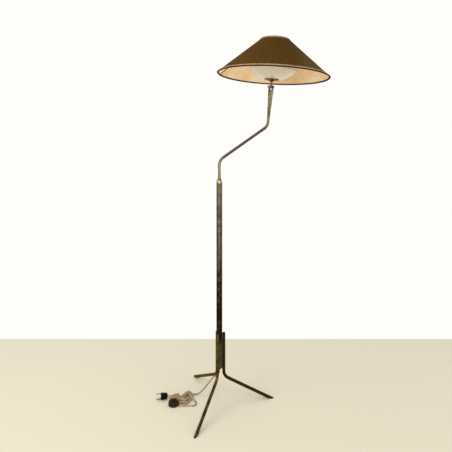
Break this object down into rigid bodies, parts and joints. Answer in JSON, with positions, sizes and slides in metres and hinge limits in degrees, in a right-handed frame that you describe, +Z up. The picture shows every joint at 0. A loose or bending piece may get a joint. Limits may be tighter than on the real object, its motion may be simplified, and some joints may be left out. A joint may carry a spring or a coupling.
{
  "type": "tripod floor lamp",
  "caption": "Tripod floor lamp with a round column, a cranked swivelling arm, and a tilting head with glass bowl and cone shade.",
  "frame": {"origin": "on the floor, under the middle of the standing lamp's box, measured without the flex, foot switch and plug", "axes": "+Z up, +X to the side the shade hangs over, -Y the front, from where the arm's crank is seen in full"},
  "size_m": [0.7408, 0.4798, 1.5706],
  "materials": {
    "dark_brass": "satin, darkened",
    "leg_brass": "satin, darkened",
    "aged_brass": "satin",
    "bright_brass": "polished",
    "steel": "satin",
    "dark_rubber": "matte",
    "fibre": "matte",
    "black_bakelite": "gloss",
    "brown_bakelite": "gloss",
    "opal_glass": "gloss",
    "bulb_glass": "gloss",
    "shade_cloth": "matte",
    "shade_parchment": "matte",
    "braid": "matte",
    "gold_flex": "matte"
  },
  "bodies": {
    "stand": {"column_tube": "dark_brass", "leg_right": "leg_brass", "leg_back": "leg_brass", "leg_front": "leg_brass", "column_end_plug": "aged_brass", "collar_screw": "aged_brass", "column_collar": "bright_brass", "switch_spring": "steel", "plug_pin_upper": "steel", "plug_pin_lower": "steel", "foot_plug_right": "dark_rubber", "foot_plug_back": "dark_rubber", "foot_plug_front": "dark_rubber", "guide_bush": "fibre", "cord_grommet": "black_bakelite", "plug_body": "black_bakelite", "switch_base": "brown_bakelite", "switch_cover": "brown_bakelite", "flex_in_column": "gold_flex", "cord_lead_in": "gold_flex", "cord_hank": "gold_flex", "cord_to_switch": "gold_flex", "cord_from_switch": "gold_flex", "cord_plug_hank": "gold_flex", "cord_to_plug": "gold_flex"},
    "arm": {"arm_tube": "aged_brass", "swivel_washer": "fibre", "swivel_ring": "aged_brass", "retaining_ring": "steel", "flex_in_arm": "gold_flex", "fork": "aged_brass", "pivot_screw": "aged_brass", "pivot_nut": "aged_brass", "friction_washer_right": "fibre", "friction_washer_left": "fibre"},
    "head": {"knuckle": "aged_brass", "stem": "aged_brass", "dish": "aged_brass", "bowl_felt": "dark_rubber", "glass_bowl": "opal_glass", "clamp_rubber": "dark_rubber", "clamp_nut": "aged_brass", "holder_bracket": "steel", "bracket_nut_lower": "aged_brass", "bracket_nut_upper": "aged_brass", "lampholder_right": "black_bakelite", "lampholder_left": "black_bakelite", "holder_nut_right": "steel", "holder_nut_left": "steel", "bulb_right": "bulb_glass", "bulb_left": "bulb_glass", "shade_cover": "shade_cloth", "shade_lining": "shade_parchment", "rim_wire": "steel", "rim_braid": "braid", "top_braid": "braid", "shade_spider": "steel", "spider_nut": "aged_brass", "finial": "bright_brass"},
    "switch_button": {"switch_button": "black_bakelite"}
  },
  "joints": [
    {"name": "arm_swivel", "type": "hinge", "parent": "stand", "child": "arm", "pos_m": [-0.17183, 0.00421, 0.95], "axis": [0, 0, 1], "range_deg": [-170, 170]},
    {"name": "head_tilt", "type": "hinge", "parent": "arm", "child": "head", "pos_m": [0.04942, 0.00421, 1.34665], "axis": [0.9962, 0, -0.0872], "range_deg": [-45, 45]},
    {"name": "switch_button_press", "type": "slide", "parent": "stand", "child": "switch_button", "axis": [0, 0, -1], "range_m": [0, 0.003], "stiffness_N_per_m": 800, "springref_m": -0.004, "deforming": ["switch_spring"]}
  ]
}
